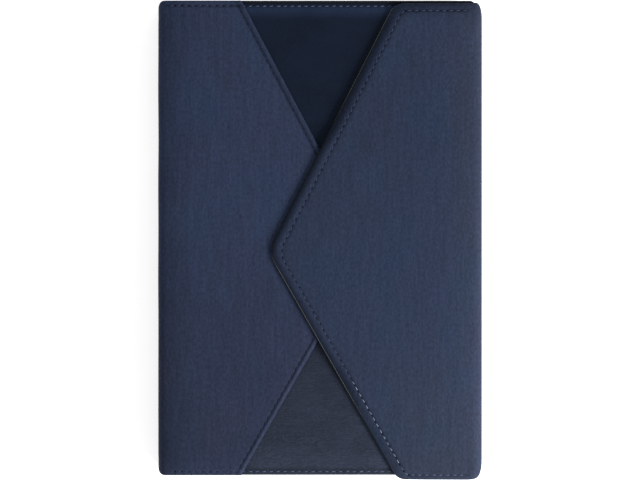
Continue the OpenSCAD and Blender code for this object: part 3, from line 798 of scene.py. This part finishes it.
# Flap and the upper half of the mouth wall
flap_wrap = Wrap([(-40, FLAP_TOP), (RIGHT, FLAP_TOP), (RIGHT, WALL_MID)], 4.5, 1, False)
FT, FB = 32.4, 33.4                     # X of the flap's upper and lower corners before they are rounded
TIP_X, TIP_Y, TIP_R = -22.4, -6.2, 12   # its tip before it is rounded, and the radius
FAR = 90                                # any X beyond the fold, for lines that run off it
lower, upper = fold_outline(flap_wrap, HALF_W - 3.5, FLAP_Y0, FLAP_Y1, WALL_Y0, WALL_Y1)
flap_corners = [(60, FLAP_Y1), (FT, FLAP_Y1), (TIP_X, TIP_Y), (FB, FLAP_Y0), (60, FLAP_Y0)]
flap_edge = rounded(flap_corners, [0, 7, TIP_R, 6, 0], 16)
flap_outline = np.vstack([flap_edge[1:-1], lower, upper])
flap_free = np.vstack([upper, flap_edge[1:-1], lower])
# the seam lies at its own distance inside each edge: top, upper slant, lower slant and bottom
sewn = inset([(FAR, FLAP_Y1), (FT, FLAP_Y1), (TIP_X, TIP_Y), (FB, FLAP_Y0), (FAR, FLAP_Y0)],
             [3.3, 4.2, 4.1, 2.1, 0])
flap_sewn = rounded(sewn, [0, 4, TIP_R - 4, 3.5, 0], 16)
flap_sewn = np.array([p for p in resample(flap_sewn, 0.5) if p[0] < HALF_W - 2.5])

def flap_droop(P):
    """The corners beyond the pocket sag a little, since nothing lies under them."""
    away = step_up(np.abs(P[:, 1]), 55, 104) * (1 - step_up(P[:, 0], 48, 64))
    beyond = step_up(np.abs(P[:, 1] + 5), 40, 56) * (1 - step_up(P[:, 0], 36, 48))
    return -0.5 * away - 1.2 * beyond * (1 - step_up(distance(P, flap_edge)[0], 0, 5.2))

def flap_top(P):
    d = distance(P, flap_free)[0]
    line, s = distance(P, flap_sewn)
    pucker = 0.75 + 0.25 * np.cos(2 * math.pi * s / STITCH)
    flat = 1 - step_up(P[:, 0], HALF_W - 6, HALF_W - 2)
    h = -edge_round(d, 4.0, 0.32) - 0.30 * bell(line, 0, 0.5) * pucker * flat
    h -= 0.10 * bell(line, 0, 1.6) * flat
    h += 0.30 * step_up(d, 4, 22) * flat + 0.06 * waves(P, 21, 50, 0.6) * step_up(d, 4, 20) * flat
    return h + flap_droop(P)

def flap_bottom(P):
    d = distance(P, flap_free)[0]
    x = P[:, 0]
    t = 2.05 - 0.45 * bell(x, HALF_W + 2, 3)
    return -t + edge_round(d, 0.5) + flap_droop(P)

def flap_shade(P):
    """Painted light and shade: painted shade along the slanted edge, where the rounded edge turns from the
    light, in the seam's groove and along the top edge; a painted highlight across the upper end, and painted
    light, lighter and warmer, towards the right and the lower right.
    """
    slant = distance(P, flap_edge)[0]
    line = distance(P, flap_sewn)[0]
    x, y = P[:, 0], P[:, 1]
    # painted shade along the turned slanted edge
    turned = (0.55 + 0.45 * step_up(slant, 0.8, 3.9) - 1) * step_up(y, -80, -64)
    tone = 1 + turned * (1 - 0.6 * step_up(y, 92, 98))
    tone *= 1 - 0.22 * bell(line, 0, 0.6) * (1 + step_up(y, 92, 97))
    tone *= 1 - 0.16 * (1 - step_up(FLAP_Y1 - y, 2, 10)) + 0.10 * step_up(y, 60, 92)
    # painted light, lighter and warmer, towards the right and the lower right
    low_end = step_up(x, 5, 55) * (1 - step_up(y, -100, -20))
    tone *= 1 + 0.12 * step_up(x, 40, 66) + 0.08 * low_end
    return tone[:, None] * tint(np.maximum(low_end, 0.7 * step_up(x, 50, 67)), 0.14, 0.0, -0.13)

flap = layer("flap_fabric", flap_outline, RINGS, 2.2, flap_top, flap_bottom, flap_wrap,
             [NAVY_FLAP, LEATHER], flap_shade)
keep(flap, ("mouth_wall", "flap", (RIGHT * MM, 0, 24.6 * MM), ((RIGHT - 5) * MM, 0, FLAP_TOP * MM)),
     "navy_fabric", "flap_cover", "flap_lining", padded=0.8)
WORN_Y = -61  # the slant's stitches are rubbed pale below this
foot_run = flap_sewn[flap_sewn[:, 0] > FB + 1]
foot_run, top_run = foot_run[foot_run[:, 1] < 0], foot_run[foot_run[:, 1] > 0]
slant_run = flap_sewn[flap_sewn[:, 0] <= FB + 1]
lower_run = slant_run[slant_run[:, 1] < WORN_Y]
upper_run = np.vstack([top_run, slant_run[slant_run[:, 1] >= WORN_Y]])
for name, run, thread, look in (("flap_stitches", upper_run, THREAD, {"lift": 0.03, "hole": 0.22}),
                                ("flap_foot_stitches", foot_run, THREAD_PALE, {"r": 0.2}),
                                ("flap_worn_stitches", lower_run, THREAD_WORN, {"r": 0.18})):
    keep(stitches(name, [run], flap_top, flap_wrap, thread, **look), "flap", "navy_fabric")

# Cut edge of the flap's stiffener, which shows along the slanted edges
cut = resample(flap_edge, 0.8)
cut = cut[(cut[:, 0] < FB + 2) & (np.abs(cut[:, 1]) < HALF_L - 3)]
# Radii of the drawn edge sideways and up, and how far in and up it lies along the lower slant
CUT_SIDE, CUT_UP, LOWER_SLANT_STEP = 0.17, 0.30, 0.35
cut_out = shift(cut, -0.10)

def cut_loop(k):
    c = cut_out[k]
    t = unit(cut_out[min(k + 1, len(cut_out) - 1)] - cut_out[max(k - 1, 0)])
    nrm = np.array([-t[1], t[0]])
    lower_slant = step_up(-c[1], 6, 12)
    h0 = flap_droop(c[None])[0] - 1.35 + LOWER_SLANT_STEP * lower_slant
    loop = []
    for a in np.linspace(0, 2 * math.pi, 9)[:-1]:
        q = c + nrm * (CUT_SIDE * math.cos(a) + LOWER_SLANT_STEP * lower_slant)
        loop.append(flap_wrap(q[None], np.array([h0 + CUT_UP * math.sin(a)]))[0])
    return loop

keep(tube("flap_cut_edge", cut_out, cut_loop, CUT_EDGE), "flap", "navy_fabric")

# Front panel of the sleeve
front_outline = rectangle(-HALF_W, HALF_W + 0.3, -HALF_L, HALF_L, CORNER_R)

def front_top(P):
    d = distance(P, front_outline, True)[0]
    rub = 1 - step_up(P[:, 1], -95, 0)
    sew = np.where(P[:, 1] > 0, TOP_SEW, FOOT_SEW)
    h = -edge_round(d, 0.9) - 0.20 * bell(d, sew, 0.4) + 0.14 * bell(d, sew + 2.4, 1.4)
    h += 0.07 * waves(P, 31, 9, 3.5, 14) * rub * step_up(d, 3, 7) + 0.05 * waves(P, 32, 40)
    return h

def front_bottom(P):
    d = distance(P, front_outline, True)[0]
    return -(FRONT_TOP - BAY_Z1) - 0.03 + edge_round(d, 0.7)

def front_shade(P):
    """Painted light and shade: a painted highlight in a band inside each seam, where the padded edge bulges
    into the light, painted shade at the top edge and in the lower seam's groove, and painted light beside the
    flap's edge that takes out the flap's shadow.
    """
    upper = HALF_L - P[:, 1]
    lower = HALF_L + P[:, 1]
    # painted highlight below the top seam, then painted shade at the top edge
    tone = 1 + 1.45 * step_up(upper, TOP_SEW - 0.3, TOP_SEW + 0.5) * (1 - step_up(upper, 3, 8.5))
    tone *= 1 - 0.35 * (1 - step_up(upper, 1.2, 1.9))
    # painted highlight above the lower seam
    tone *= 1 + 0.22 * step_up(lower, 2.6, 4.5) * (1 - step_up(lower, 4.5, 12))
    # painted light beside the flap's lower edge, which lightens the shadow the flap casts
    beside = bell(distance(P, flap_edge)[0], 0.8, 1.6)
    tone *= 1 + 0.4 * beside * step_up(lower, 3, 6) * (1 - step_up(lower, 30, 40))
    # painted shade in the lower seam's groove
    return tone * (1 - 0.30 * bell(lower, 2.35, 0.45))

front = layer("sleeve_front_leather", front_outline, RINGS[:16], 1.6, front_top, front_bottom,
              flat_at(FRONT_TOP), [LEATHER, LINING], front_shade)
keep(front, "sleeve", "front_leather", "sleeve_front_cover", padded=0.95)
runs = [[(-HALF_W + 2.4, y), (HALF_W - 2.4, y)] for y in (FOOT_SEW - HALF_L, HALF_L - TOP_SEW)]
keep(stitches("front_stitches", runs, front_top, flat_at(FRONT_TOP), THREAD_PALE, r=0.19),
     "sleeve", "front_leather")

# Gusset round three sides of the tablet bay
def gusset():
    x1, x0, y = HALF_W - 0.2, -HALF_W, HALF_L - 1.7
    path = rounded([(x1, -y), (x0, -y), (x0, y), (x1, y)], [0, 1.8, 1.8, 0], 8)
    path = resample(path, GUSSET_STEP)
    t = tangents(path)
    n_in = np.stack([-t[:, 1], t[:, 0]], 1)
    if n_in[5] @ -path[5] < 0:
        n_in = -n_in
    thick = np.where(np.abs(path[:, 1]) > y - 0.5, 2.85, 1.5)
    s = np.arange(len(path)) * GUSSET_STEP
    height = BAY_Z1 - BAY_Z0 + 0.1

    def point(k, inwards, z):
        x, y = path[k] + n_in[k] * inwards
        return [x, y, BAY_Z0 - 0.05 + z * height]

    def loop(k):
        out = []
        for z in np.linspace(0, 1, 13):
            puff = 0.55 * math.sin(math.pi * z) ** 0.7 - 0.5 * math.exp(-(((z - 0.5) / 0.06) ** 2))
            wrinkle = 0.10 * math.sin(s[k] * 0.9 + 2 * math.sin(s[k] * 0.13)) * math.sin(math.pi * z)
            out.append(point(k, 0.3 - (puff + wrinkle), z))
        return out + [point(k, thick[k], z) for z in (1.0, 0.66, 0.33, 0.0)]

    return tube("sleeve_gusset_fabric", path, loop, GUSSET)

keep(gusset(), "sleeve", "navy_fabric", "sleeve_gusset", padded=0.8)

# Binding along the sleeve's upper (+Y) edge, and piping at the gusset's seams
def rope(name, path, ry, rz, mat, n=12):
    """A tube of elliptical section, ry sideways and rz up."""
    p = np.array(path, float)
    t = tangents(p)

    def loop(k):
        side = np.array([-t[k][1], t[k][0], 0])
        return [p[k] + side * ry * math.cos(a) + np.array([0, 0, rz * math.sin(a)])
                for a in np.linspace(0, 2 * math.pi, n + 1)[:-1]]

    return tube(name, p, loop, mat)

def u_path(inside_by, z, r=2.2):
    """A line round the three closed sides of the sleeve at height z."""
    x1, x0, y = HALF_W - 1.0, -HALF_W + inside_by, HALF_L - inside_by
    q = resample(rounded([(x1, -y), (x0, -y), (x0, y), (x1, y)], [0, r, r, 0], 8), GUSSET_STEP)
    return np.hstack([q, np.full((len(q), 1), z)])

edge = [(x, HALF_L - 0.62, FRONT_TOP - 0.72) for x in np.linspace(-HALF_W + 1.5, HALF_W - 1.5, 60)]
for name, path, ry, rz in (("sleeve_edge_binding", edge, 0.70, 0.92),
                           ("gusset_top_piping", u_path(1.5, BAY_Z1 - 0.15), 0.55, 0.55),
                           ("gusset_bottom_piping", u_path(1.5, BAY_Z0 + 0.25), 0.55, 0.55)):
    keep(rope(name, path, ry, rz, BINDING), "sleeve", "navy_fabric")

# Lining of the tablet bay
lo, hi = low("bay_lining"), high("bay_lining")
bay_lining = layer("bay_lining_cloth", rectangle(lo[0], hi[0], lo[1], hi[1], 1), [0.2, 0.6, 1.4, 3], 5.0,
                   lambda P: 0.34 + 0.04 * waves(P, 41, 30), lambda P: np.zeros(len(P)),
                   flat_at(lo[2]), [LINING])
keep(bay_lining, "sleeve", "lining_fabric", "bay_lining")

# ------------------------ keyboard

LOOKS = {
    "base_board": BOARD, "spine_board": BOARD, "sleeve_back_board": BOARD, "sleeve_front_board": BOARD,
    "mouth_wall_board": BOARD, "flap_board": BOARD,
    "base_magnets": NICKEL, "sleeve_magnets": NICKEL, "flap_magnet": NICKEL, "catch_plate": STEEL,
    "mounting_tape": TAPE, "keyboard_bottom_case": PLASTIC, "keyboard_deck": PLASTIC,
    "groove_pad": SILICONE, "bumper_pads": SILICONE, "case_screws": STEEL, "key_support_plate": STEEL,
    "key_membrane": FILM, "rubber_domes": SILICONE, "circuit_board": SOLDER_MASK, "battery": CELL,
    "usb_socket": NICKEL, "power_switch": SILICONE, "status_light_lens": LENS, "touchpad": PAD,
    "left_click_button": KEY, "right_click_button": KEY,
}
KEY_NODES = [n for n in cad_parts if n.endswith("_key") or n.endswith("_keys") or n == "space_bar"]
# Widths of the rounded edges that the moulded parts get
BEVEL = {"keyboard_bottom_case": 0.5, "keyboard_deck": 0.18, "groove_pad": 0.15, "bumper_pads": 0.35,
         "touchpad": 0.15, "left_click_button": 0.3, "right_click_button": 0.3, "power_switch": 0.2}
for n in KEY_NODES:
    LOOKS[n], BEVEL[n] = KEY, 0.45
for name, mat in LOOKS.items():
    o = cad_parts[name]
    o.data.materials.clear()
    o.data.materials.append(mat)
    if name in BEVEL:
        b = o.modifiers.new("edges", "BEVEL")
        b.width = BEVEL[name] * MM
        b.segments = 3
        b.limit_method = "ANGLE"
        b.angle_limit = math.radians(40)
        b.harden_normals = True

# Printed legends. The user sits on the +X side, so text runs along +Y and its top is at -X.
ROW_PITCH, KEY_PITCH, FIELD_X0, FIELD_Y0 = 15.2, 15.6, -42.5, -93.6
KEY_TOP = high("escape_key")[2]
# node: row, first column, the keys' characters
PLAIN = {
    "number_keys": (0, 1, "1234567890"), "top_letter_keys": (1, 1, "QWERTYUIOP-"),
    "home_letter_keys": (2, 1.25, "ASDFGHJKL"), "bottom_letter_keys": (3, 1.75, "ZXCVBNM,."),
}
# node: row, column, width in columns, legend
NAMED = {
    "escape_key": (0, 0, 1, "esc"), "backspace_key": (0, 11, 1, "del"), "tab_key": (1, 0, 1, "tab"),
    "caps_lock_key": (2, 0, 1.25, "caps"), "enter_key": (2, 10.25, 1.75, "enter"),
    "left_shift_key": (3, 0, 1.75, "shift"), "right_shift_key": (3, 10.75, 1.25, "shift"),
    "function_key": (4, 0, 1, "fn"), "control_key": (4, 1, 1, "ctrl"), "alt_key": (4, 2, 1, "alt"),
    "menu_key": (4, 7, 1, "menu"), "left_arrow_key": (4, 8, 1, "<"), "up_arrow_key": (4, 9, 1, "^"),
    "down_arrow_key": (4, 10, 1, "v"), "right_arrow_key": (4, 11, 1, ">"),
}

ARROWS = {"^": 0, "<": 90, "v": 180, ">": 270}  # which way each points, in degrees

def glyphs(text, size):
    """The text's mesh as (vertices in mm, faces), centred on the origin."""
    if text in ARROWS:
        a = math.radians(ARROWS[text])
        tri = [(-1.5, -0.9), (1.5, -0.9), (0, 1.4)]
        return [(x * math.cos(a) - y * math.sin(a), x * math.sin(a) + y * math.cos(a))
                for x, y in tri], [(0, 1, 2)]
    c = bpy.data.curves.new("text", "FONT")
    c.body, c.size, c.align_x, c.align_y = text, size, "CENTER", "CENTER"
    c.resolution_u = 4
    o = bpy.data.objects.new("text", c)
    bpy.context.scene.collection.objects.link(o)
    bpy.context.view_layer.update()
    me = bpy.data.meshes.new_from_object(o.evaluated_get(bpy.context.evaluated_depsgraph_get()))
    v = [(p.co.x, p.co.y) for p in me.vertices]
    f = [tuple(p.vertices) for p in me.polygons]
    bpy.data.objects.remove(o)
    bpy.data.curves.remove(c)
    bpy.data.meshes.remove(me)
    return v, f

def legend(node, marks):
    """The printing on a node's keys: marks are (row, column of the key's middle, text, size)."""
    verts, faces = [], []
    for row, column, text, size in marks:
        v, f = glyphs(text, size)
        x0 = FIELD_X0 + (row + 0.5) * ROW_PITCH
        y0 = FIELD_Y0 + column * KEY_PITCH
        base = len(verts)
        verts += [(x0 - y, y0 + x, KEY_TOP + 0.02) for x, y in v]
        faces += [tuple(i + base for i in q) for q in f]
    o = mesh(node + "_legend", verts, faces, [LEGEND], smooth=False)
    keep(o, node, "key_plastic")

for node, (row, first, text) in PLAIN.items():
    legend(node, [(row, first + k + 0.5, c, 5.2) for k, c in enumerate(text)])
for node, (row, first, width, text) in NAMED.items():
    legend(node, [(row, first + width / 2, text, 3.6)])

# ------------------------ stage, light and camera

bpy.ops.mesh.primitive_plane_add(size=6)
floor = bpy.context.object
floor.name = "floor"
floor.location.z = -0.0002
white = Nodes("floor_white")
tone = white.ramp(white.noise((0.02, 0.02, 0.02), 2), grey(0.99, 1.01))
floor.data.materials.append(white.done(white.times(level(0.82), tone), Roughness=0.9,
                                       Specular_IOR_Level=0.1, Emission_Color=level(1),
                                       Emission_Strength=0.5))

world = bpy.data.worlds.new("studio")
bpy.context.scene.world = world
world.use_nodes = True
background = world.node_tree.nodes["Background"].inputs
background["Color"].default_value = level(1)
background["Strength"].default_value = 0.6

def area_light(name, place, size, watts):
    """A round light, size across, that points at the middle of the object. In metres."""
    d = bpy.data.lights.new(name, "AREA")
    d.shape, d.size, d.energy = "DISK", size, watts
    o = bpy.data.objects.new(name, d)
    o.location = place
    o.rotation_mode = "QUATERNION"
    o.rotation_quaternion = (-Vector(place)).to_track_quat("-Z", "Y")
    bpy.context.scene.collection.objects.link(o)

area_light("key", (0.42, -0.27, 0.32), 0.3, 7)
area_light("fill", (-0.2, 0.2, 1.4), 1.2, 4)

# The camera looks straight down. The view is VIEW_WIDTH wide at the height of the pocket's top.
VIEW_WIDTH, VIEW_PLANE = 0.2762, 0.0273
cam = bpy.data.cameras.new("camera")
cam.sensor_width, cam.lens = 36, 150
cam_o = bpy.data.objects.new("camera", cam)
bpy.context.scene.collection.objects.link(cam_o)
cam_o.location = (0, -0.0009, VIEW_PLANE + VIEW_WIDTH * cam.lens / cam.sensor_width)
cam.clip_start, cam.clip_end = 0.05, 20
bpy.context.scene.camera = cam_o
bpy.context.scene.view_settings.view_transform = "Standard"
bpy.context.scene.view_settings.look = "None"
